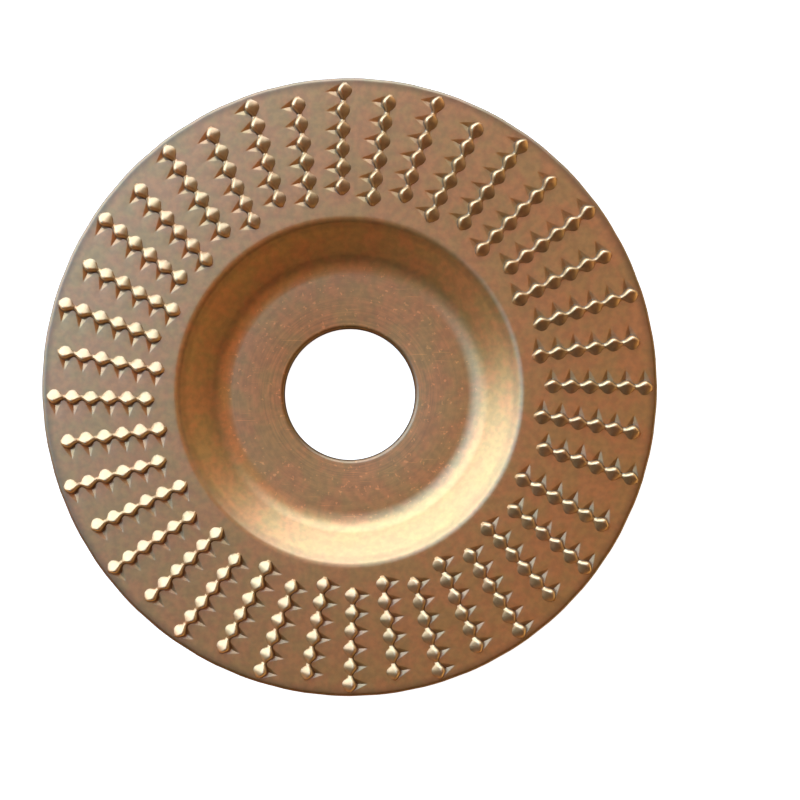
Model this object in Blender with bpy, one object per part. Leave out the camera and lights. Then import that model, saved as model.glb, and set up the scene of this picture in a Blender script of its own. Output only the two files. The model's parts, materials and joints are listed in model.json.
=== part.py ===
"""Carving disc for an angle grinder: a dished steel plate that carries forty rows of raised cutting teeth.

The origin is the centre of the spindle bore on the hub's back face. +Z points towards the toothed working
face, and seen from that side every tooth cuts counter-clockwise. Units are metres.
"""

import math

import bmesh
import bpy
from mathutils import Matrix, Vector

MM = 0.001

# Pressed plate
DISC_RADIUS = 50.0 * MM
BORE_RADIUS = 11.0 * MM
PLATE_THICKNESS = 3.0 * MM
DISH_DEPTH = 6.0 * MM
HUB_RADIUS = 21.6 * MM
MOUTH_RADIUS = 27.8 * MM
HUB_BEND_RADIUS = 5.0 * MM
MOUTH_BEND_RADIUS = 1.8 * MM
MOUTH_BACK_BEND_RADIUS = 0.6 * MM
EDGE_BREAK = 0.35 * MM
PLATE_SEGMENTS = 80
BEND_STEPS = 4

# Tooth layout: straight rows that lean a little back from the radius, shifted by half a tooth in turn.
# Each step is a little under a fortieth of a turn, so the gap before the first row is wider than the rest.
ROW_COUNT = 40
TEETH_PER_ROW = 6
TOOTH_PITCH = 2.98 * MM
OUTER_ROW_MID_RADIUS = 40.4 * MM
FIRST_ROW_ANGLE = math.radians(-15.5)
ROW_STEP = math.radians(8.96)
ROW_SLANT = math.radians(2.9)

# One tooth: a cusp behind the cutting edge, and the gouge that the punch leaves in front of it
TOOTH_HEIGHT = 1.1 * MM
TOOTH_LENGTH = 2.1 * MM
TOOTH_TIP_LEAD = 0.5 * MM
RIDGE_HEIGHT = 0.38 * MM
RIDGE_LENGTH = 0.7 * MM
CUSP_FULLNESS = 0.62
ROW_CLEARANCE = 0.1 * MM
GOUGE_WIDTH = 2.5 * MM
GOUGE_LENGTH = 1.75 * MM
GOUGE_DEPTH = 0.8 * MM
GOUGE_START = 0.6 * MM
GOUGE_OVERCUT = 1.3

RING_BACK_Z = DISH_DEPTH
RING_FACE_Z = DISH_DEPTH + PLATE_THICKNESS

PLATE_COLOUR = (0.33, 0.20, 0.09, 1.0)
TOOTH_COLOUR = (0.46, 0.31, 0.16, 1.0)


def clear_scene():
    for old in list(bpy.data.objects):
        bpy.data.objects.remove(old, do_unlink=True)


def metal(name, colour, roughness):
    material = bpy.data.materials.new(name)
    material.use_nodes = True
    shader = material.node_tree.nodes["Principled BSDF"]
    shader.inputs["Base Color"].default_value = colour
    shader.inputs["Metallic"].default_value = 1.0
    shader.inputs["Roughness"].default_value = roughness
    return material


def mesh_from(name, build):
    """A closed mesh filled by build(bm), with its faces pointing out."""
    bm = bmesh.new()
    build(bm)
    bmesh.ops.recalc_face_normals(bm, faces=bm.faces)
    mesh = bpy.data.meshes.new(name)
    bm.to_mesh(mesh)
    bm.free()
    return mesh


def add_object(name, mesh, parent=None):
    piece = bpy.data.objects.new(name, mesh)
    bpy.context.collection.objects.link(piece)
    piece.parent = parent
    return piece


def bend_arc(corner, before, after, radius):
    """Points of the arc that rounds the corner between two outline points."""
    towards = (before - corner).normalized()
    away = (after - corner).normalized()
    half_angle = towards.angle(away) / 2
    centre = corner + (towards + away).normalized() * (radius / math.sin(half_angle))
    reach = radius / math.tan(half_angle)
    first = (corner + towards * reach - centre).normalized()
    last = (corner + away * reach - centre).normalized()
    return [centre + first.slerp(last, step / BEND_STEPS) * radius for step in range(BEND_STEPS + 1)]


def plate_outline():
    """The plate's closed section as (radius, height) points: bore, front, rim and back in turn."""
    wall_angle = math.atan2(DISH_DEPTH, MOUTH_RADIUS - HUB_RADIUS)
    back_offset = PLATE_THICKNESS * math.tan(wall_angle / 2)
    bore_inner = BORE_RADIUS + EDGE_BREAK
    rim_inner = DISC_RADIUS - EDGE_BREAK
    corners = [
        (BORE_RADIUS, EDGE_BREAK, 0.0),
        (BORE_RADIUS, PLATE_THICKNESS - EDGE_BREAK, 0.0),
        (bore_inner, PLATE_THICKNESS, 0.0),
        (HUB_RADIUS, PLATE_THICKNESS, HUB_BEND_RADIUS),
        (MOUTH_RADIUS, RING_FACE_Z, MOUTH_BEND_RADIUS),
        (rim_inner, RING_FACE_Z, 0.0),
        (DISC_RADIUS, RING_FACE_Z - EDGE_BREAK, 0.0),
        (DISC_RADIUS, RING_BACK_Z + EDGE_BREAK, 0.0),
        (rim_inner, RING_BACK_Z, 0.0),
        (MOUTH_RADIUS + back_offset, RING_BACK_Z, MOUTH_BACK_BEND_RADIUS),
        (HUB_RADIUS + back_offset, 0.0, HUB_BEND_RADIUS + PLATE_THICKNESS),
        (bore_inner, 0.0, 0.0),
    ]
    points = []
    for index, (radius, height, bend) in enumerate(corners):
        corner = Vector((radius, height))
        if bend == 0.0:
            points.append(corner)
            continue
        before = Vector(corners[index - 1][:2])
        after = Vector(corners[(index + 1) % len(corners)][:2])
        points.extend(bend_arc(corner, before, after, bend))
    return points


def build_turned_plate(bm):
    """Sweeps the section once round the spindle axis."""
    outline = plate_outline()
    rings = []
    for segment in range(PLATE_SEGMENTS):
        turn = math.tau * segment / PLATE_SEGMENTS
        spin = Vector((math.cos(turn), math.sin(turn)))
        rings.append([bm.verts.new((p.x * spin.x, p.x * spin.y, p.y)) for p in outline])
    for segment, ring in enumerate(rings):
        following = rings[(segment + 1) % PLATE_SEGMENTS]
        for index in range(len(outline)):
            after = (index + 1) % len(outline)
            bm.faces.new((ring[index], following[index], following[after], ring[after]))


def row_matrix(row):
    """Places a row: X runs outwards along it, Y is the cutting direction, Z = 0 is the toothed face."""
    angle = FIRST_ROW_ANGLE + row * ROW_STEP
    middle = Vector((math.cos(angle), math.sin(angle), 0.0)) * OUTER_ROW_MID_RADIUS
    middle.z = RING_FACE_Z
    inward = 0.0 if row % 2 == 0 else -TOOTH_PITCH / 2
    placing = Matrix.Translation(middle) @ Matrix.Rotation(angle - ROW_SLANT, 4, "Z")
    return placing @ Matrix.Translation((inward, 0.0, 0.0))


def tooth_offset(tooth):
    return (tooth - (TEETH_PER_ROW - 1) / 2) * TOOTH_PITCH


def build_gouge(bm, placing):
    """One mark of the three-sided punch: a pyramid whose steep side stands under the cutting edge."""
    tip = Vector((0.0, GOUGE_START, -GOUGE_DEPTH))
    mouth = [
        Vector((-GOUGE_WIDTH / 2, GOUGE_START, 0.0)),
        Vector((GOUGE_WIDTH / 2, GOUGE_START, 0.0)),
        Vector((0.0, GOUGE_START + GOUGE_LENGTH, 0.0)),
    ]
    base = [bm.verts.new(placing @ (tip + (corner - tip) * GOUGE_OVERCUT)) for corner in mouth]
    point = bm.verts.new(placing @ tip)
    bm.faces.new(base)
    for index in range(len(base)):
        bm.faces.new((base[index], base[(index + 1) % len(base)], point))


def build_gouges(bm):
    for row in range(ROW_COUNT):
        for tooth in range(TEETH_PER_ROW):
            build_gouge(bm, row_matrix(row) @ Matrix.Translation((tooth_offset(tooth), 0.0, 0.0)))


def build_tooth_row(bm):
    """Lofts a row along X: low ridge sections between the teeth, and a high, long section at each tip."""
    sections = []
    for station in range(2 * TEETH_PER_ROW + 1):
        along = (station / 2 - TEETH_PER_ROW / 2) * TOOTH_PITCH
        at_tip = station % 2 == 1
        height = TOOTH_HEIGHT if at_tip else RIDGE_HEIGHT
        edge = TOOTH_TIP_LEAD if at_tip else 0.0
        heel = edge - (TOOTH_LENGTH if at_tip else RIDGE_LENGTH)
        crown = ROW_CLEARANCE + (height - ROW_CLEARANCE) * CUSP_FULLNESS
        section = [(edge, ROW_CLEARANCE), (edge, height), ((edge + heel) / 2, crown), (heel, ROW_CLEARANCE)]
        sections.append([bm.verts.new((along, y, z)) for y, z in section])
    for near, far in zip(sections, sections[1:]):
        for index in range(len(near)):
            after = (index + 1) % len(near)
            bm.faces.new((near[index], far[index], far[after], near[after]))
    bm.faces.new(sections[0])
    bm.faces.new(sections[-1])


def make_plate(axis):
    plate = add_object("disc_plate", mesh_from("disc_plate", build_turned_plate), axis)
    plate.data.materials.append(metal("bronze_lacquer", PLATE_COLOUR, 0.38))
    plate.data.shade_smooth()
    plate.data.set_sharp_from_angle(angle=math.radians(25))

    punch = add_object("gouge_punch", mesh_from("gouge_punch", build_gouges), axis)
    punch.hide_render = True
    punch.display_type = "WIRE"
    cut = plate.modifiers.new("gouges", "BOOLEAN")
    cut.operation = "DIFFERENCE"
    cut.solver = "EXACT"
    cut.object = punch
    return plate


def make_tooth_rows(axis):
    """All rows have one shape, so they share one mesh and differ only in where they stand."""
    mesh = mesh_from("tooth_row", build_tooth_row)
    mesh.materials.append(metal("bright_bronze_lacquer", TOOTH_COLOUR, 0.3))
    for row in range(ROW_COUNT):
        piece = add_object(f"tooth_row_{row + 1:02d}", mesh, axis)
        piece.matrix_local = row_matrix(row)


def main():
    clear_scene()
    axis = add_object("spindle_axis", None)
    make_plate(axis)
    make_tooth_rows(axis)


main()
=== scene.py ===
# %% [markdown]
# # A carving disc for an angle grinder
# The real thing is one dished steel plate with forty rows of punched teeth, under a satin bronze lacquer.
# The packed model already fixes every size and place. This lesson builds the fine surface round it: a turned
# and gouged plate, forty rows of cusps, the lacquer, and a light table to look at it all on.

# %% Load the packed model
import json
import math
import random

import bmesh
import bpy
import numpy as np
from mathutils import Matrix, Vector


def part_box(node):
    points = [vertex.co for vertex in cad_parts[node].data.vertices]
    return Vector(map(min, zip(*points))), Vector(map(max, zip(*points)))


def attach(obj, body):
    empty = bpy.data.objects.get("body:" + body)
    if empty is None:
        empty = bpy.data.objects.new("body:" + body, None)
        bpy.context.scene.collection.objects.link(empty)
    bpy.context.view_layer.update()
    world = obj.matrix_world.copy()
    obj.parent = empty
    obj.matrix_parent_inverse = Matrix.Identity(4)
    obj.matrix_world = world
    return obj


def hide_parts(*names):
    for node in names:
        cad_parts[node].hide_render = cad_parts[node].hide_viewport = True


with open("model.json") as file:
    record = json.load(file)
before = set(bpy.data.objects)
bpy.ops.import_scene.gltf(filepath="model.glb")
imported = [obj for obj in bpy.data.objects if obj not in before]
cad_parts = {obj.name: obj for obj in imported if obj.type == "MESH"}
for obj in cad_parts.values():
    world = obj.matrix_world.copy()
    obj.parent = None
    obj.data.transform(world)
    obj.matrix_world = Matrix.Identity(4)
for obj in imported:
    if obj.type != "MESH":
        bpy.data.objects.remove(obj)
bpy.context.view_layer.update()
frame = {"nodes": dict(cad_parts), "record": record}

print("nodes in the frame:", len(frame["nodes"]))

# %% [markdown]
# ## Sizes
# A turner reads a drawing before cutting. Here the drawing is the packed model: its boxes and mounts give the
# rim, the two faces of the plate, the depth of the dish and the height of the teeth. Only what a box cannot
# tell, such as a bend radius, is listed. Lengths are in metres, so `MM` keeps them readable.

# %% Read the sizes from the frame
MM = 0.001
plate_low, plate_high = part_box("disc_plate")
mounts = {mount["name"]: mount for mount in frame["record"]["mounts"]}

RIM_RADIUS = (plate_high.x - plate_low.x) / 2
HUB_FACE = mounts["hub_front_face"]["pos_m"][2]
RING_FACE = plate_high.z
RING_BACK = RING_FACE - HUB_FACE
TOOTH_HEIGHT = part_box("tooth_row_01")[1].z - RING_FACE
PLATE_THICKNESS = HUB_FACE
BORE_RADIUS = 11.0 * MM

print(f"rim radius {RIM_RADIUS / MM:.1f} mm, plate {PLATE_THICKNESS / MM:.1f} mm thick,",
      f"dish {RING_BACK / MM:.1f} mm deep, teeth {TOOTH_HEIGHT / MM:.2f} mm high")

# %% [markdown]
# ## Where the rows stand
# A toothing machine turns the blank by about nine degrees and punches one straight row at a time, leaning a
# little back from the radius. Its steps are a hair short, so the gap where it finished is wider than the
# rest. Each packed row is a small mesh whose highest points are its six tips. The line through the first and
# the last tip therefore gives the row's middle, its direction and its pitch, and nothing is typed twice.

# %% Measure the rows
ROW_NAMES = sorted(name for name in frame["nodes"] if name.startswith("tooth_row_"))
TEETH_PER_ROW = 6


def measure_row(name):
    """Angle and radius of the row's middle, how far it leans back from the radius, and its tooth pitch."""
    points = np.array([vertex.co[:] for vertex in frame["nodes"][name].data.vertices])
    tips = points[points[:, 2] > points[:, 2].max() - 0.01 * MM][:, :2]
    tips = tips[np.argsort(np.hypot(tips[:, 0], tips[:, 1]))]
    middle = (tips[0] + tips[-1]) / 2
    along = tips[-1] - tips[0]
    angle = math.atan2(middle[1], middle[0])
    lean = (angle - math.atan2(along[1], along[0]) + math.pi) % math.tau - math.pi
    return angle, float(np.hypot(*middle)), lean, float(np.hypot(*along)) / (TEETH_PER_ROW - 1)


measured = [measure_row(name) for name in ROW_NAMES]
ROW_COUNT = len(measured)
ROW_ANGLES = [row[0] for row in measured]
ROW_LEAN = float(np.mean([row[2] for row in measured]))
PITCH = float(np.mean([row[3] for row in measured])) * math.cos(ROW_LEAN)
OUTER_MIDDLE = float(np.mean([row[1] for row in measured[0::2]]))
INNER_MIDDLE = float(np.mean([row[1] for row in measured[1::2]]))
next_angles = ROW_ANGLES[1:] + ROW_ANGLES[:1]
steps = [math.degrees(after - angle) % 360 for angle, after in zip(ROW_ANGLES, next_angles)]
print(f"{ROW_COUNT} rows, pitch {PITCH / MM:.3f} mm, lean {math.degrees(ROW_LEAN):.2f} deg,",
      f"middles {OUTER_MIDDLE / MM:.2f} and {INNER_MIDDLE / MM:.2f} mm,",
      f"steps of {min(steps):.2f} deg and one of {max(steps):.2f} deg")

# %% [markdown]
# ## Following a row
# The row is straight, but the plate is round, so the plate's net is drawn in polar lines that bend with the
# rows: at any radius, a row has one angle. Everything that the punch did is then a distance ahead of that
# angle or behind it, and the plate and the teeth can share one set of numbers and meet without a gap.

# %% Angle of a row at a radius
STATIONS_PER_TOOTH = 16
STATION = PITCH / STATIONS_PER_TOOTH
MIDDLE_TOOTH = (TEETH_PER_ROW - 1) / 2


def row_middle(row):
    """Radius of a row's middle: every second row sits half a pitch further in."""
    return OUTER_MIDDLE if row % 2 == 0 else INNER_MIDDLE


def row_angle(row, radius):
    """Angle of the tip line of a row where it crosses a circle."""
    middle = row_middle(row)
    along = math.sqrt(radius ** 2 - (middle * math.sin(ROW_LEAN)) ** 2) - middle * math.cos(ROW_LEAN)
    swing = math.atan2(-along * math.sin(ROW_LEAN), middle + along * math.cos(ROW_LEAN))
    return ROW_ANGLES[row] + swing


def polar(angle, radius, height):
    """A point given by its angle, its distance from the axis and its height."""
    return radius * math.cos(angle), radius * math.sin(angle), height


reach = MIDDLE_TOOTH * PITCH
row_swing = row_angle(0, OUTER_MIDDLE - reach) - row_angle(0, OUTER_MIDDLE + reach)
print(f"row 1 swings {math.degrees(row_swing):.2f} deg from its first tooth to its last")

# %% [markdown]
# ## One tooth
# A chisel-shaped punch lifts a cusp, a half cone with its point at the back and its mouth at the cutting
# edge. In front of it the punch leaves its own print, a three-sided pit with a steep back wall. Neighbouring
# cusps just run into each other, so the cutting edge is one wavy line. No two strokes are quite the same, so
# each tooth gets its own small seeded shift, height and length.

# %% Sizes of a cusp
CUSP_LENGTH = 2.05 * MM
CUSP_HALF_WIDTH = 1.62 * MM
CUSP_TOP = 0.84         # share of the cusp's length at which it is highest
CUSP_FILL = 0.97        # height of a middling tooth, as a share of the packed one
NOSE_SHARE = 0.8        # share of the length over which the cusp grows to its full width
NOSE_POWER = 0.45
BACK_POWER = 0.95
BACK_SWELL = 0.15
FLANK_POWER = 1.8
HEEL_POWER = 2.4
LIP_DROP = 0.13         # how far the round lip falls from the top, as a share of the height
LIP_LEAD = 0.65 * MM    # how far a tip stands ahead of the notches beside it
RIDGE_HEIGHT = 0.24 * MM
RIDGE_LENGTH = 0.55 * MM
BASE_SOFTNESS = 0.07 * MM
END_HOLD = 0.9          # in mm: past its last tip a row keeps its height this far,
END_FADE = 0.5          # and then fades to nothing over this much
print(f"cusp {CUSP_LENGTH / MM:.2f} mm long and {2 * CUSP_HALF_WIDTH / MM:.2f} mm wide")

# %% Sizes of the rake face and the pit
RAKE_WIDTH = 0.36 * MM
RAKE_LEAN = 0.12
RAKE_FALL = 0.4         # share of the rake face's fall that is straight; the rest steepens towards the foot
RAKE_POWER = 2.4
PIT_LENGTH = 2.15 * MM
PIT_HALF_WIDTH = 1.1 * MM
PIT_CORNER = -0.1 * MM  # where the pit's two back corners are, ahead of the tip line
PIT_SLOPE = 0.17
PIT_SHARES = (0.3, 0.62, 0.9)
PIT_BULGE = 0.12
PIT_MARGIN = 0.08 * MM
print(f"pit {PIT_LENGTH / MM:.2f} mm long and {2 * PIT_HALF_WIDTH / MM:.2f} mm wide")

# %% Strokes of the punch
SHIFT_SCATTER = 0.045
HEIGHT_SCATTER = 0.05
LENGTH_SCATTER = 0.035

punch = random.Random(7)
strokes = [
    [
        (
            punch.gauss(0, SHIFT_SCATTER) * MM,
            1 + punch.gauss(0, HEIGHT_SCATTER),
            1 + punch.gauss(0, LENGTH_SCATTER),
        )
        for tooth in range(TEETH_PER_ROW)
    ]
    for row in range(ROW_COUNT)
]


def tooth_radii(row):
    """How far from the axis each tip of a row is."""
    return [row_middle(row) + (tooth - MIDDLE_TOOTH) * PITCH for tooth in range(TEETH_PER_ROW)]


def stroke_at(row, radius):
    """Distance from the nearest tip along the row, and that stroke's shift, height and length, blended."""
    centres = tooth_radii(row)
    nearest = min(range(TEETH_PER_ROW), key=lambda tooth: abs(radius - centres[tooth]))
    blended = [float(np.interp(radius, centres, [stroke[i] for stroke in strokes[row]])) for i in range(3)]
    off = radius - centres[nearest]
    outside = radius > centres[-1] or radius < centres[0]
    return off, outside, *blended


print("first three strokes of row 1 (shift in mm, height, length):")
print([(round(shift / MM, 3), round(tall, 2), round(long, 2)) for shift, tall, long in strokes[0][:3]])

# %% Height of a cusp
def lip_line(off):
    """How far ahead of the tip line the lip is, off a tooth's middle."""
    return -LIP_LEAD * (1 - math.cos(math.pi * min(off / (PITCH / 2), 1.0))) / 2


def along_crest(share):
    """Share of the full height along a cusp, from its heel (0) over its round top to its lip (1)."""
    if share < CUSP_TOP:
        rise = share / CUSP_TOP
        return rise ** BACK_POWER * (1 + BACK_SWELL * (1 - rise))
    return 1 - LIP_DROP * ((share - CUSP_TOP) / (1 - CUSP_TOP)) ** 2


def cusp_height(ahead, off, length, height):
    """Height of the cusp's back, ahead of its tip line (negative is behind) and off its middle."""
    lip = lip_line(off)
    rise = min(max((ahead + length) / (lip + length), 0.0), 1.0)
    half_width = CUSP_HALF_WIDTH * min(1.0, rise / NOSE_SHARE) ** NOSE_POWER
    dome = 0.0
    if off < half_width:
        dome = height * along_crest(rise) * (1 - (off / half_width) ** FLANK_POWER)
    behind = min(max((lip - ahead) / RIDGE_LENGTH, 0.0), 1.0)
    ridge = RIDGE_HEIGHT * along_crest(1 - behind)
    raw = (dome ** 3 + ridge ** 3) ** (1 / 3)
    return raw * raw / (raw + BASE_SOFTNESS) * (1 + BASE_SOFTNESS / height)


heights = [cusp_height(-ahead * MM, 0.0, CUSP_LENGTH, TOOTH_HEIGHT) / MM for ahead in (0, 0.5, 1, 1.5, 2)]
print("height every half millimetre back from a tip, in mm:", [round(height, 2) for height in heights])

# %% Section across a row
def section_at(row, radius):
    """Where the heel, lip and foot of the row and the pit ahead of it are at a radius."""
    off, outside, shift, tall, long = stroke_at(row, radius)
    side = abs(off)
    length = CUSP_LENGTH * long
    height = TOOTH_HEIGHT * tall * CUSP_FILL
    lip = lip_line(side)
    fade = 1.0 if not outside else 1 - min(max((side / MM - END_HOLD) / END_FADE, 0.0), 1.0) ** 2
    lip_height = cusp_height(lip, side, length, height) * fade
    heel = min(-length * (1 - min(side / CUSP_HALF_WIDTH, 1.0) ** HEEL_POWER), lip - RIDGE_LENGTH)
    pit_length = PIT_LENGTH * long
    reach = pit_length - PIT_CORNER
    steep = PIT_SLOPE * reach * side / PIT_HALF_WIDTH
    run = pit_length - lip - RAKE_WIDTH - RAKE_LEAN * lip_height
    pit = min((steep - PIT_SLOPE * run) / (1 + RAKE_LEAN * PIT_SLOPE), 0.0)
    foot = lip + RAKE_WIDTH * fade + RAKE_LEAN * (lip_height - pit)
    edge = pit_length - reach * side / PIT_HALF_WIDTH
    return {
        "side": side, "fade": fade, "length": length, "height": height, "shift": shift, "heel": heel,
        "lip": lip, "lip_height": lip_height, "foot": foot, "pit": pit, "edge": max(edge, foot + PIT_MARGIN),
    }


tip = section_at(0, tooth_radii(0)[2])
print("at a tip, in mm:", {key: round(value / MM, 2) for key, value in tip.items() if key != "fade"})

# %% [markdown]
# ## The plate's section
# The blank is pressed from 3 mm sheet: a flat hub, a wide soft bend, a conical wall, a tighter bend at the
# mouth of the dish, and the flat ring. Lacquer and tumbling round every cut edge. The section is drawn as a
# press tool is: a simple outline of straight lines, with an arc put into each of its corners.

# %% Arcs and corners
HUB_CORNER = 21.7 * MM
MOUTH_CORNER = 27.85 * MM
HUB_BEND = 5.2 * MM
MOUTH_BEND = 1.7 * MM
EDGE_ROUND = 0.4 * MM
FRONT_ROUND = 0.65 * MM
MOUTH_BACK_BEND = 0.6 * MM
TEETH_BEGIN = INNER_MIDDLE - (MIDDLE_TOOTH + 0.5) * PITCH
TEETH_END = RIM_RADIUS - FRONT_ROUND - 0.05 * MM


def bend_arc(corner, before, after, radius, steps):
    """Points of the arc that rounds the corner between two outline points."""
    towards = (before - corner).normalized()
    away = (after - corner).normalized()
    half_angle = towards.angle(away) / 2
    centre = corner + (towards + away).normalized() * (radius / math.sin(half_angle))
    reach = radius / math.tan(half_angle)
    first = (corner + towards * reach - centre).normalized()
    last = (corner + away * reach - centre).normalized()
    return [centre + first.slerp(last, step / steps) * radius for step in range(steps + 1)]


print(f"bends of {HUB_BEND / MM:.1f} mm at the hub and {MOUTH_BEND / MM:.1f} mm at the mouth")

# %% An outline with its corners rounded
def rounded(corners):
    """Outline through (radius, height, bend radius, steps) corners; the first and last stay as they are."""
    points = []
    for index, (radius, height, bend, steps) in enumerate(corners):
        corner = Vector((radius, height))
        if bend == 0 or index in (0, len(corners) - 1):
            points.append(corner)
            continue
        before = Vector(corners[index - 1][:2])
        after = Vector(corners[index + 1][:2])
        points.extend(bend_arc(corner, before, after, bend, steps))
    return points


sample = rounded([(0, 0, 0, 0), (2, 0, 1, 2), (2, 2, 0, 0)])
print("a square corner in two steps:", [(round(p.x, 2), round(p.y, 2)) for p in sample])

# %% Front, ring and back of the section
wall_angle = math.atan2(RING_BACK, MOUTH_CORNER - HUB_CORNER)
back_shift = PLATE_THICKNESS * math.tan(wall_angle / 2)

front = rounded([
    (BORE_RADIUS, PLATE_THICKNESS / 2, 0, 0),
    (BORE_RADIUS, HUB_FACE, FRONT_ROUND, 6),
    (HUB_CORNER, HUB_FACE, HUB_BEND, 14),
    (MOUTH_CORNER, RING_FACE, MOUTH_BEND, 10),
    (MOUTH_CORNER + 1.2 * MM, RING_FACE, 0, 0),
])
back = rounded([
    (TEETH_END, RING_FACE, 0, 0),
    (RIM_RADIUS, RING_FACE, FRONT_ROUND, 7),
    (RIM_RADIUS, RING_BACK, EDGE_ROUND, 5),
    (MOUTH_CORNER + back_shift, RING_BACK, MOUTH_BACK_BEND, 4),
    (HUB_CORNER + back_shift, 0.0, HUB_BEND + PLATE_THICKNESS, 12),
    (BORE_RADIUS, 0.0, EDGE_ROUND, 4),
    (BORE_RADIUS, PLATE_THICKNESS / 2, 0, 0),
])[1:-1]
first_line = math.ceil((TEETH_BEGIN - OUTER_MIDDLE) / STATION)
last_line = math.floor((TEETH_END - OUTER_MIDDLE) / STATION)
ring_radii = [OUTER_MIDDLE + line * STATION for line in range(first_line, last_line + 1)]
print(f"wall {math.degrees(wall_angle):.1f} deg; {len(front)} points in front,",
      f"{len(ring_radii)} ring lines, {len(back)} behind")

# %% [markdown]
# ## The plate's net
# Ten lines of points run outwards with each row. One is the boundary with the row before, a few hide under
# the cusps, and the rest trace the pit from its steep back wall to the far edge of its mouth. One closed net
# of the whole plate has no seams, so it is a clean solid, and its pits are real hollows rather than a trick
# of the light.

# %% Columns of one row at one radius
COLUMNS = 10
RIM_ZONE = 1.5 * MM
HEIGHT_TOLERANCE = 0.001 * MM


def boundary(row, radius):
    """Angle half way between a row and the one before it."""
    here = row_angle(row % ROW_COUNT, radius)
    gap = (here - row_angle((row - 1) % ROW_COUNT, radius)) % math.tau
    return here - gap / 2


def ring_columns(row, radius):
    """Angle and height of every column of a row's share of the ring."""
    tooth = section_at(row, radius)
    start = boundary(row, radius)
    tip_angle = row_angle(row, radius) + tooth["shift"] / radius
    foot, pit, edge = tooth["foot"], tooth["pit"], tooth["edge"]
    behind = foot + RAKE_LEAN * pit - 0.15 * MM
    places = [(min(foot - 0.45 * MM, behind - 0.02 * MM), 0.0), (behind, 0.0), (foot - 0.03 * MM, pit)]
    for share in PIT_SHARES:
        depth = pit * (1 - share) * (1 - PIT_BULGE * share)
        places.append((foot + (edge - foot) * share, depth))
    places.append((edge + 0.03 * MM, -0.002 * MM if pit < 0 else 0.0))
    places.append((edge + 0.12 * MM, 0.0))
    angles = [(tip_angle + ahead / radius, height) for ahead, height in places]
    middle = (start + angles[0][0]) / 2
    return [(start, 0.0), (middle, 0.0), *angles]


def even_columns(row, radius):
    """Evenly spread columns for the bare parts of the plate; they are the same at every radius."""
    start = boundary(row, MOUTH_CORNER)
    step = (boundary(row + 1, MOUTH_CORNER) - start) % math.tau
    return [(start + step * column / COLUMNS, 0.0) for column in range(COLUMNS)]


print("columns of row 1 at its third tip, degrees from the boundary and depth in mm:")
print([(round(math.degrees(a - boundary(0, tooth_radii(0)[2])), 2), round(z / MM, 2))
       for a, z in ring_columns(0, tooth_radii(0)[2])])

# %% Meshes from points and faces
def smooth_with_sharp_edges(mesh, degrees):
    """Smooth shading that breaks at edges sharper than this angle."""
    mesh.shade_smooth()
    mesh.set_sharp_from_angle(angle=math.radians(degrees))


def mesh_object(name, vertices, faces):
    """A named object in the scene made of these points and faces."""
    mesh = bpy.data.meshes.new(name)
    mesh.from_pydata(vertices, [], faces)
    mesh.validate()
    piece = bpy.data.objects.new(name, mesh)
    bpy.context.collection.objects.link(piece)
    return piece


print("mesh helpers ready")

# %% Build the plate
def build_plate():
    """The whole blank as one closed net: front, ring with its pits, rim and back, joined end to end."""
    lines = [(p.x, p.y, even_columns) for p in front]
    lines += [(radius, RING_FACE, ring_columns) for radius in ring_radii]
    lines += [(p.x, p.y, ring_columns if p.x > RIM_RADIUS - RIM_ZONE else even_columns) for p in back]
    vertices = []
    for radius, height, columns in lines:
        spread = radius if columns is even_columns else min(radius, TEETH_END)
        for row in range(ROW_COUNT):
            for angle, depth in columns(row, spread):
                dent = depth if RING_FACE - height < HEIGHT_TOLERANCE else 0.0
                vertices.append(polar(angle, radius, height + dent))
    around = ROW_COUNT * COLUMNS
    faces = []
    for line in range(len(lines)):
        here, there = line * around, (line + 1) % len(lines) * around
        for column in range(around):
            beside = (column + 1) % around
            faces.append((here + column, there + column, there + beside, here + beside))
    return mesh_object("toothed_plate", vertices, faces)


plate = build_plate()
smooth_with_sharp_edges(plate.data, 35)
print(f"plate: {len(plate.data.polygons)} quads")

# %% [markdown]
# ## The cutting rows
# Each row is lofted from its inner end to its outer end through close cross-sections: up the rounded back of
# the cusps, over the rounded lip, down the rake face to the foot of the pit. Its underside is sunk in
# the plate, as the lifted metal and the plate are one.

# %% Section points of a row
BACK_POINTS = 11
RAKE_POINTS = 4
SINK = 0.07 * MM
END_STATIONS = 7.5
HEEL_TUCK = 0.03 * MM
FOOT_TUCK = 0.04 * MM
UNDERSIDE_DEPTH = 0.12 * MM
UNDERSIDE_SETBACK = 0.25 * MM


def row_section(row, radius, end):
    """Points of a row's section, heel to foot and back underneath, as (distance ahead, height)."""
    tooth = section_at(row, radius)
    side, length, height, fade = tooth["side"], tooth["length"], tooth["height"], tooth["fade"]
    heel, lip, foot, pit = tooth["heel"], tooth["lip"], tooth["foot"], tooth["pit"]
    sunk = SINK if end else 0.0
    points = [(heel - HEEL_TUCK, -SINK)]
    for step in range(1, BACK_POINTS + 1):
        share = step / BACK_POINTS
        ahead = heel + (lip - heel) * share
        points.append((ahead, cusp_height(ahead, side, length, height) * fade - sunk))
    for step in range(1, RAKE_POINTS + 1):
        share = step / (RAKE_POINTS + 1)
        drop = RAKE_FALL * share + (1 - RAKE_FALL) * share ** RAKE_POWER
        fall = (tooth["lip_height"] - pit) * drop
        points.append((lip + (foot - lip) * share, tooth["lip_height"] - fall - sunk))
    points.append((foot, pit - FOOT_TUCK - sunk))
    points.append((foot - UNDERSIDE_SETBACK, pit - UNDERSIDE_DEPTH - sunk))
    return [(ahead + tooth["shift"], level) for ahead, level in points]


print("points in a section:", len(row_section(0, tooth_radii(0)[2], False)))

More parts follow.
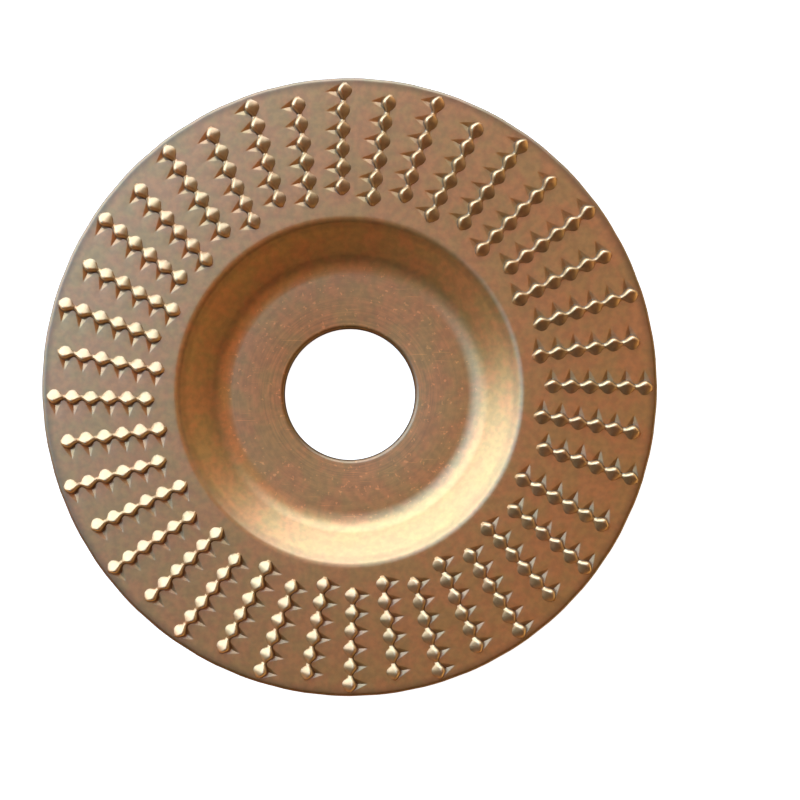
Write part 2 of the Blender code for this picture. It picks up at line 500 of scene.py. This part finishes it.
# %% Loft the rows
def build_row(row):
    """One row as a closed loft through its sections, on the same net lines as the plate."""
    centres = tooth_radii(row)
    first = centres[0] - END_STATIONS * STATION
    last = min(centres[-1] + END_STATIONS * STATION, TEETH_END)
    inner = [radius for radius in ring_radii if first + 0.01 * MM < radius < last - 0.01 * MM]
    radii = [first, *inner, last]
    vertices, faces = [], []
    for index, radius in enumerate(radii):
        angle = row_angle(row, radius)
        section = row_section(row, radius, index in (0, len(radii) - 1))
        for ahead, level in section:
            vertices.append(polar(angle + ahead / radius, radius, RING_FACE + level))
    around = len(section)
    for index in range(len(radii) - 1):
        here, there = index * around, (index + 1) * around
        for point in range(around):
            beside = (point + 1) % around
            faces.append((here + point, here + beside, there + beside, there + point))
    faces.append(tuple(range(around))[::-1])
    faces.append(tuple((len(radii) - 1) * around + point for point in range(around)))
    return mesh_object(f"cutting_row_{row + 1:02d}", vertices, faces)


rows = [build_row(row) for row in range(ROW_COUNT)]
for piece in rows:
    smooth_with_sharp_edges(piece.data, 48)
print(f"rows: {len(rows)}, {len(rows[0].data.polygons)} faces each")

# %% Measure whether the meshes are closed, and which way they face
def closed_volume(piece):
    """Number of open edges of a piece, and its volume, which is negative if its faces point inwards."""
    bm = bmesh.new()
    bm.from_mesh(piece.data)
    open_edges = sum(1 for edge in bm.edges if not edge.is_manifold)
    volume = bm.calc_volume(signed=True)
    bm.free()
    return open_edges, volume


# The plate's faces point outwards. The rows are closed, but their faces point inwards, so their volumes come
# out negative. Cycles doesn't hide the backs of faces, but some viewers do.
for piece in (plate, rows[0], rows[1]):
    open_edges, volume = closed_volume(piece)
    facing_side = "outwards" if volume > 0 else "inwards"
    print(f"{piece.name}: {open_edges} open edges, {volume * 1e6:.3f} cm3, faces point {facing_side}")

# %% [markdown]
# ## Shader shorthand
# Real finishes are layers: metal, lacquer, dirt and wear. Each layer below is a few maths nodes, so a small
# helper keeps them readable. It adds a node, sets its inputs, and wires whatever is itself a node's output.

# %% Node helper
class Nodes:
    """Adds nodes to one node tree."""

    def __init__(self, tree):
        self.tree = tree

    def put(self, socket, value):
        """Wires a node's output into a socket, or sets the socket to a plain value."""
        if isinstance(value, bpy.types.NodeSocket):
            self.tree.links.new(value, socket)
        else:
            socket.default_value = value

    def add(self, kind, output, settings=None, **inputs):
        """A node with its settings and inputs; the result is its named output."""
        node = self.tree.nodes.new(kind)
        for key, value in (settings or {}).items():
            setattr(node, key, value)
        for key, value in inputs.items():
            self.put(node.inputs[key.replace("_", " ")], value)
        return node.outputs[output]

    def math(self, operation, *values):
        """One sum, product or other maths operation."""
        node = self.tree.nodes.new("ShaderNodeMath")
        node.operation = operation
        for socket, value in zip(node.inputs, values):
            self.put(socket, value)
        return node.outputs[0]

    def ease(self, value, low, high, from_value=0.0, to_value=1.0):
        """Smooth step of a value from low to high."""
        node = self.tree.nodes.new("ShaderNodeMapRange")
        node.interpolation_type = "SMOOTHSTEP"
        for key, number in zip(("Value", "From Min", "From Max", "To Min", "To Max"),
                               (value, low, high, from_value, to_value)):
            self.put(node.inputs[key], number)
        return node.outputs["Result"]

    def blend(self, factor, a, b, how="MIX"):
        """Mix of two colours."""
        node = self.tree.nodes.new("ShaderNodeMix")
        node.data_type = "RGBA"
        node.blend_type = how
        for index, value in ((0, factor), (6, a), (7, b)):
            self.put(node.inputs[index], value)
        return node.outputs[2]

    def noise(self, vector, scale, detail=2.0, roughness=0.5):
        """Soft noise with this many bumps to the metre."""
        return self.add(
            "ShaderNodeTexNoise", "Fac", Vector=vector, Scale=scale, Detail=detail, Roughness=roughness)


print("the helper can:", [name for name in vars(Nodes) if not name.startswith("_")])

# %% [markdown]
# ## Pale surroundings
# A catalogue shows a tool on glowing white paper that sweeps up all round, so nothing else draws the eye.
# Here a floor and a ball round everything glow evenly. They are kept out of reflections and let light
# through, because the light that shapes the metal comes from the room outside them.

# %% Pale floor and sweep
FLOOR_REACH = 2.0
FLOOR_DROP = 0.5 * MM
SWEEP_RADIUS = 1.9


def glowing(name, colour, strength):
    """A matt material that gives its own even light."""
    material = bpy.data.materials.new(name)
    material.use_nodes = True
    shader = material.node_tree.nodes["Principled BSDF"]
    shader.inputs["Base Color"].default_value = (0.8, 0.8, 0.8, 1)
    shader.inputs["Roughness"].default_value = 1.0
    shader.inputs["Emission Color"].default_value = colour
    shader.inputs["Emission Strength"].default_value = strength
    return material


def unseen_by_light(piece):
    """Keeps the surroundings out of reflections and lets all light through them."""
    piece.visible_glossy = False
    piece.visible_diffuse = False
    piece.visible_shadow = False


paper = glowing("pale_floor", (1.0, 1.0, 1.0, 1), 1.0)
floor_corners = [(x * FLOOR_REACH, y * FLOOR_REACH, 0) for x, y in ((-1, -1), (1, -1), (1, 1), (-1, 1))]
floor = mesh_object("floor", floor_corners, [(0, 1, 2, 3)])
floor.location.z = -FLOOR_DROP
bm = bmesh.new()
bmesh.ops.create_icosphere(bm, subdivisions=4, radius=SWEEP_RADIUS)
dome_mesh = bpy.data.meshes.new("sweep")
bm.to_mesh(dome_mesh)
bm.free()
sweep = bpy.data.objects.new("sweep", dome_mesh)
bpy.context.collection.objects.link(sweep)
for piece in (floor, sweep):
    piece.data.materials.append(paper)
    unseen_by_light(piece)
print(f"floor {2 * FLOOR_REACH:.0f} m across, {FLOOR_DROP / MM:.1f} mm below the hub;",
      f"sweep {SWEEP_RADIUS} m out")

# %% [markdown]
# ## Bronze lacquer
# The colour is a thin metallic lacquer sprayed over bare steel. It dries in faint cloudy patches, olive in
# one place and reddish in the next, with a fine grain from the flakes. A disc is round, so most marks depend
# on how far a point is from the axis. Object coordinates give that, and they stay with the piece in any view.

# %% Where on the disc a point is
def disc_place(n):
    """Object coordinates of a point, with its radius, height and angle."""
    place = n.add("ShaderNodeTexCoord", "Object")
    parts = n.tree.nodes.new("ShaderNodeSeparateXYZ")
    n.put(parts.inputs[0], place)
    x, y, z = parts.outputs
    radius = n.math("SQRT", n.math("ADD", n.math("MULTIPLY", x, x), n.math("MULTIPLY", y, y)))
    return place, radius, z, n.math("ARCTAN2", y, x)


print(f"the ring runs from {MOUTH_CORNER / MM:.1f} to {RIM_RADIUS / MM:.1f} mm from the axis")

# %% Cloudy colour
PATCHES_PER_METRE = 230
DRIFT_PER_METRE = 900


def cloudy_colour(n, place, olive, red):
    """Soft patches of two tones, a few millimetres across, with a finer drift inside them."""
    patches = n.noise(place, PATCHES_PER_METRE, 3.0, 0.6)
    colour = n.blend(n.ease(patches, 0.36, 0.64), olive, red)
    drift = n.ease(n.noise(place, DRIFT_PER_METRE, 2.0, 0.5), 0.3, 0.7, 0.9, 1.1)
    return n.blend(1.0, colour, drift, "MULTIPLY")


print(f"patches about {1000 / PATCHES_PER_METRE:.1f} mm across, drift {1000 / DRIFT_PER_METRE:.1f} mm")

# %% [markdown]
# ## Painted shade, painted highlight and handling marks
# The pits, the bore and a fine line inside the mouth of the dish are darkened with painted shade, and the
# ring grows darker towards the rim. The wall gets a painted highlight and is a little brighter. The hub shows
# turning rings by the bore, dust specks and the scratches of a clamping nut. Each of these is one number that
# the colour is multiplied by, so they can be changed or left out one by one.

# %% Painted shade and painted highlight by place
PIT_SHADE = 0.7
RIM_SHADE = 0.52
BORE_SHADE = 0.5
MOUTH_PAINTED_SHADE = 0.2
WALL_PAINTED_HIGHLIGHT = 0.38


def painted_shade_and_wall_highlight(n, radius, z):
    """Painted shade in pits, bore and mouth line, darker towards the rim, and a painted highlight on the
    wall.
    """
    # Painted shade in the pits: the colour darkens where the ring dips below its face.
    pit = n.ease(z, RING_FACE - 0.75 * MM, RING_FACE - 0.05 * MM, PIT_SHADE, 1.0)
    in_ring = n.ease(radius, MOUTH_CORNER, MOUTH_CORNER + 1.5 * MM)
    pit = n.math("MAXIMUM", pit, n.math("SUBTRACT", 1.0, in_ring))
    # Darker towards the rim.
    rim = n.ease(radius, RIM_RADIUS - 1.9 * MM, RIM_RADIUS - 0.3 * MM, 1.0, RIM_SHADE)
    # Painted shade on the wall and edge of the bore.
    bore = n.ease(radius, BORE_RADIUS + 0.1 * MM, BORE_RADIUS + 0.8 * MM, BORE_SHADE, 1.0)
    # Painted shade in a fine dark line just inside the mouth of the dish.
    inside = n.ease(radius, MOUTH_CORNER - 1.5 * MM, MOUTH_CORNER - 0.8 * MM)
    outside = n.ease(radius, MOUTH_CORNER - 0.4 * MM, MOUTH_CORNER + 0.1 * MM, 1.0, 0.0)
    line = n.math("SUBTRACT", 1.0, n.math("MULTIPLY", MOUTH_PAINTED_SHADE, n.math("MULTIPLY", inside, outside)))
    # Painted highlight: the dish wall is made brighter all round.
    wall = n.math("MULTIPLY", n.ease(radius, HUB_CORNER - 2.5 * MM, HUB_CORNER + 0.5 * MM), outside)
    painted_wall_highlight = n.math("ADD", 1.0, n.math("MULTIPLY", wall, WALL_PAINTED_HIGHLIGHT))
    dirt = n.math("MULTIPLY", n.math("MULTIPLY", pit, rim), n.math("MULTIPLY", bore, line))
    return n.math("MULTIPLY", dirt, painted_wall_highlight)


print("brightness at the rim, at the bore and on the wall:", RIM_SHADE, BORE_SHADE, 1 + WALL_PAINTED_HIGHLIGHT)

# %% Marks on the hub
HUB_MARKS_END = 23.0 * MM
RINGS_PER_METRE = 2600
SPECK_BRIGHTNESS = 0.5
SCRATCH_BRIGHTNESS = 0.3


def scratches(n, place, turn, low):
    """Thin straight marks: noise stretched along one direction and cut off high."""
    mapping = n.add(
        "ShaderNodeMapping", "Vector", Vector=place, Rotation=(0, 0, turn), Scale=(160, 2600, 1))
    return n.ease(n.noise(mapping, 1.0, 1.0, 0.4), low, low + 0.06)


def hub_marks(n, place, radius, angle):
    """Turning rings, specks and scratches on the hub, as one brightness factor."""
    on_hub = n.ease(radius, 19.5 * MM, HUB_MARKS_END, 1.0, 0.0)
    around = n.math("MULTIPLY", angle, 0.4 * MM)
    ring_place = n.add("ShaderNodeCombineXYZ", "Vector", X=radius, Y=around, Z=0.0)
    rings = n.ease(n.noise(ring_place, RINGS_PER_METRE, 2.0, 0.6), 0.3, 0.7, -1.0, 1.0)
    near_bore = n.ease(radius, 12.5 * MM, 17.0 * MM, 0.16, 0.05)
    specks = n.ease(n.noise(place, 1500, 1.0, 0.5), 0.66, 0.74)
    marks = n.math("ADD", scratches(n, place, 0.5, 0.7), scratches(n, place, -1.1, 0.71))
    total = n.math("ADD", n.math("MULTIPLY", rings, near_bore), n.math("MULTIPLY", specks, SPECK_BRIGHTNESS))
    total = n.math("ADD", total, n.math("MULTIPLY", marks, SCRATCH_BRIGHTNESS))
    return n.math("ADD", 1.0, n.math("MULTIPLY", on_hub, total))


print(f"marks fade out {HUB_MARKS_END / MM:.0f} mm from the axis")

# %% [markdown]
# ## Two coats of one lacquer
# The plate and the teeth get the same lacquer. On the teeth it is glossier and painted brighter, a lit copy
# of the plate's colour, and it is rubbed through to bare metal, with a painted highlight, where the piece
# says so. Numbers that are the same all over, such as the gloss of the clear coat, are set on the shader
# itself, and only what changes from place to place is wired in.

# %% Bare metal with painted highlight, and painted shade, where a piece stores them
def worn_highlight_and_painted_shade(n, place, colour, worn_and_highlight_colour):
    """Bare metal, also a painted highlight, where the piece stores wear; painted shade where it stores dirt.
    """
    # Bare metal on the lips, for real wear, that also paints a highlight along them.
    wear = n.add("ShaderNodeAttribute", "Fac", {"attribute_name": "wear"})
    patchy = n.ease(n.noise(place, 700, 2.0, 0.5), 0.3, 0.6, 0.3, 1.0)
    colour = n.blend(n.math("MULTIPLY", wear, patchy), colour, worn_and_highlight_colour)
    # Painted shade where the piece stores it, under each lip and at each heel.
    dirt = n.add("ShaderNodeAttribute", "Fac", {"attribute_name": "dirt"})
    return n.blend(1.0, colour, n.math("SUBTRACT", 1.0, dirt), "MULTIPLY")


print("a piece may store the point attributes wear and dirt, from 0 to 1")

# %% Lacquer of the plate and the teeth
FLAKE_SHARE = 0.75
GRAIN_PER_METRE = 2400
GRAIN_DEPTH = 0.03 * MM


def lacquer(name, olive, red, coat_ior, dullness, worn_and_highlight_colour=None):
    """Satin metallic lacquer: tinted metal flakes under a clear coat, both with the same fine grain."""
    material = bpy.data.materials.new(name)
    material.use_nodes = True
    shader = material.node_tree.nodes["Principled BSDF"]
    shader.inputs["Metallic"].default_value = FLAKE_SHARE
    shader.inputs["Coat Weight"].default_value = 1.0
    shader.inputs["Coat Roughness"].default_value = dullness
    shader.inputs["Coat IOR"].default_value = coat_ior
    n = Nodes(material.node_tree)
    place, radius, z, angle = disc_place(n)
    colour = cloudy_colour(n, place, olive, red)
    factor = n.math("MULTIPLY", painted_shade_and_wall_highlight(n, radius, z), hub_marks(n, place, radius, angle))
    colour = n.blend(1.0, colour, factor, "MULTIPLY")
    if worn_and_highlight_colour:
        colour = worn_highlight_and_painted_shade(n, place, colour, worn_and_highlight_colour)
    n.put(shader.inputs["Base Color"], colour)
    grain = n.noise(place, GRAIN_PER_METRE, 3.0, 0.65)
    n.put(shader.inputs["Roughness"], n.ease(grain, 0.25, 0.75, dullness, dullness + 0.14))
    bump = n.add("ShaderNodeBump", "Normal", Strength=0.35, Distance=GRAIN_DEPTH, Height=grain)
    n.put(shader.inputs["Normal"], bump)
    return material


plate_material = lacquer(
    "bronze_lacquer", olive=(0.57, 0.325, 0.10, 1), red=(0.66, 0.30, 0.10, 1), coat_ior=1.95, dullness=0.36)
# The teeth's lacquer is a lit copy of the plate's: its colour is painted brighter.
tooth_material = lacquer(
    "bright_bronze_lacquer", olive=(0.74, 0.46, 0.205, 1), red=(0.80, 0.44, 0.205, 1), coat_ior=1.85,
    dullness=0.28, worn_and_highlight_colour=(0.95, 0.67, 0.34, 1))
plate.data.materials.append(plate_material)
for piece in rows:
    piece.data.materials.append(tooth_material)
print("lacquers:", plate_material.name, "and", tooth_material.name)

# %% [markdown]
# ## Wear, painted highlight and painted shade on the teeth
# Even a new rasp disc is tumbled, so the lacquer is thin on the lips and bare metal shines through, which
# also paints their highlight. Under each lip and at each heel the colour is darkened with painted shade. Both
# follow the section of the row, so they are stored on its points, and the lacquer above reads them.

# %% Wear with a painted highlight on the cutting edges, and painted shade at their heels and feet
def mark(piece, name, amounts):
    """Stores one number per point of a row's section, the same for every section of the row."""
    sections = len(piece.data.vertices) // len(amounts)
    attribute = piece.data.attributes.new(name, "FLOAT", "POINT")
    attribute.data.foreach_set("value", np.tile(amounts, sections))


def along_section(stops):
    """One number for each point of a section, blended between (point, number) stops."""
    points = np.arange(1 + BACK_POINTS + RAKE_POINTS + 2)
    return np.interp(points, [stop[0] for stop in stops], [stop[1] for stop in stops])


lip_point = BACK_POINTS
foot_point = BACK_POINTS + RAKE_POINTS + 1
# Wear on the lips, which also paints their highlight.
lip_wear_and_highlight_amounts = along_section(
    [(lip_point - 3, 0), (lip_point - 1, 0.5), (lip_point, 0.9), (lip_point + 2, 0)])
# Painted shade at the heel and from under the lip down to the foot of the rake face.
painted_shade_amounts = along_section(
    [(0, 0.5), (1, 0.1), (2, 0), (lip_point + 1, 0.0), (lip_point + 3, 0.75), (foot_point, 0.92)])
for piece in rows:
    mark(piece, "wear", lip_wear_and_highlight_amounts)
    mark(piece, "dirt", painted_shade_amounts)
print("wear along a section:", lip_wear_and_highlight_amounts.round(2))
print("dirt along a section:", painted_shade_amounts.round(2))

# %% [markdown]
# ## Light
# A satin metal shows the room more than any colour of its own. One wide window stands behind and to the left.
# Low down, the walls of the room glow warmly, most of all on the right, and that keeps the wall of the dish
# golden. The band above them is dark, so the backs of the teeth fall into deep shadow. The ceiling gives the
# flat ring its brown, and a cool haze above the window veils the ring's upper left. Every part of the room is
# chosen by direction alone, so it stays put when the camera moves.

# %% Directions in the room
WINDOW_AZIMUTH = 118
GLOW_AZIMUTH = 8
HAZE_AZIMUTH = 150

world = bpy.data.worlds.new("studio")
bpy.context.scene.world = world
world.use_nodes = True
room = Nodes(world.node_tree)
parts = room.tree.nodes.new("ShaderNodeSeparateXYZ")
room.put(parts.inputs[0], room.add("ShaderNodeTexCoord", "Generated"))
x, y, z = parts.outputs
level = room.math("SQRT", room.math("ADD", room.math("MULTIPLY", x, x), room.math("MULTIPLY", y, y)))
level = room.math("MAXIMUM", level, 0.001)  # never 0, as it is divided by


def facing(azimuth):
    """1 for directions over this azimuth, 0 at right angles to it, -1 on the far side."""
    turn = math.radians(azimuth)
    eastward = room.math("MULTIPLY", x, math.cos(turn))
    northward = room.math("MULTIPLY", y, math.sin(turn))
    along = room.math("ADD", eastward, northward)
    return room.math("DIVIDE", along, level)


print(f"window over {WINDOW_AZIMUTH} deg, glow over {GLOW_AZIMUTH} deg, haze over {HAZE_AZIMUTH} deg")

# %% Walls and ceiling, from the floor up
NEAR_BLACK = (0.01, 0.005, 0.002, 1)

glow = room.ease(facing(GLOW_AZIMUTH), -0.4, 0.9)
low = room.blend(glow, (0.82, 0.39, 0.12, 1), (1.45, 0.96, 0.37, 1))
low = room.blend(room.ease(z, -0.6, -0.1), NEAR_BLACK, low)
middle = room.blend(glow, NEAR_BLACK, (0.05, 0.026, 0.01, 1))
ceiling = room.blend(glow, (0.235, 0.115, 0.026, 1), (0.50, 0.182, 0.028, 1))
ambient = room.blend(room.ease(z, -0.02, 0.22), low, middle)
ambient = room.blend(room.ease(z, 0.57, 0.95), ambient, ceiling)
print("bands from the floor up: low glow, dark middle, brown ceiling")

# %% Haze and window
HAZE_LIGHT = (0.8, 1.5, 2.5, 1)
WINDOW_LIGHT = (2.2, 2.8, 3.25, 1)

haze = room.math("MULTIPLY", room.ease(facing(HAZE_AZIMUTH), 0.42, 1.0), room.ease(z, 0.55, 0.8))
haze = room.math("MULTIPLY", haze, room.ease(z, 0.93, 0.995, 1.0, 0.0))
ambient = room.blend(haze, ambient, HAZE_LIGHT)
window = room.ease(facing(WINDOW_AZIMUTH), 0.18, 0.8)
window = room.math("MULTIPLY", window, room.ease(z, -0.45, -0.15))
window = room.math("MULTIPLY", window, room.ease(z, 0.56, 0.87, 1.0, 0.0))
light = room.blend(window, ambient, WINDOW_LIGHT)
room.put(world.node_tree.nodes["Background"].inputs["Color"], light)
print("nodes in the room:", len(world.node_tree.nodes))

# %% [markdown]
# ## Camera
# The disc is seen from almost straight above its hub, a hand's breadth or two away, so the rim is nearly a
# true circle and the dish still shows more of its far wall than its near one.

# %% Camera
lens = bpy.data.cameras.new("camera")
lens.lens = 52.47
lens.sensor_width = 36
lens.shift_x = 0.047
lens.shift_y = 0.14
lens.clip_start = 0.01
camera = bpy.data.objects.new("camera", lens)
camera.location = (3.3 * MM, -2.4 * MM, 199 * MM)
camera.rotation_euler = (math.radians(-5.04), math.radians(0.34), math.radians(0.32))
bpy.context.collection.objects.link(camera)
bpy.context.scene.camera = camera
bpy.context.scene.view_settings.view_transform = "Standard"
print(f"camera {camera.location.z / MM:.0f} mm up, lens {lens.lens:.2f} mm")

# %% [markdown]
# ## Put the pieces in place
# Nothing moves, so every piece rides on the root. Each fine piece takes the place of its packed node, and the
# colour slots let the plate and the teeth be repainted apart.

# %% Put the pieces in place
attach(plate, "root")
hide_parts("disc_plate")
for name, piece in zip(ROW_NAMES, rows):
    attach(piece, "root")
    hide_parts(name)
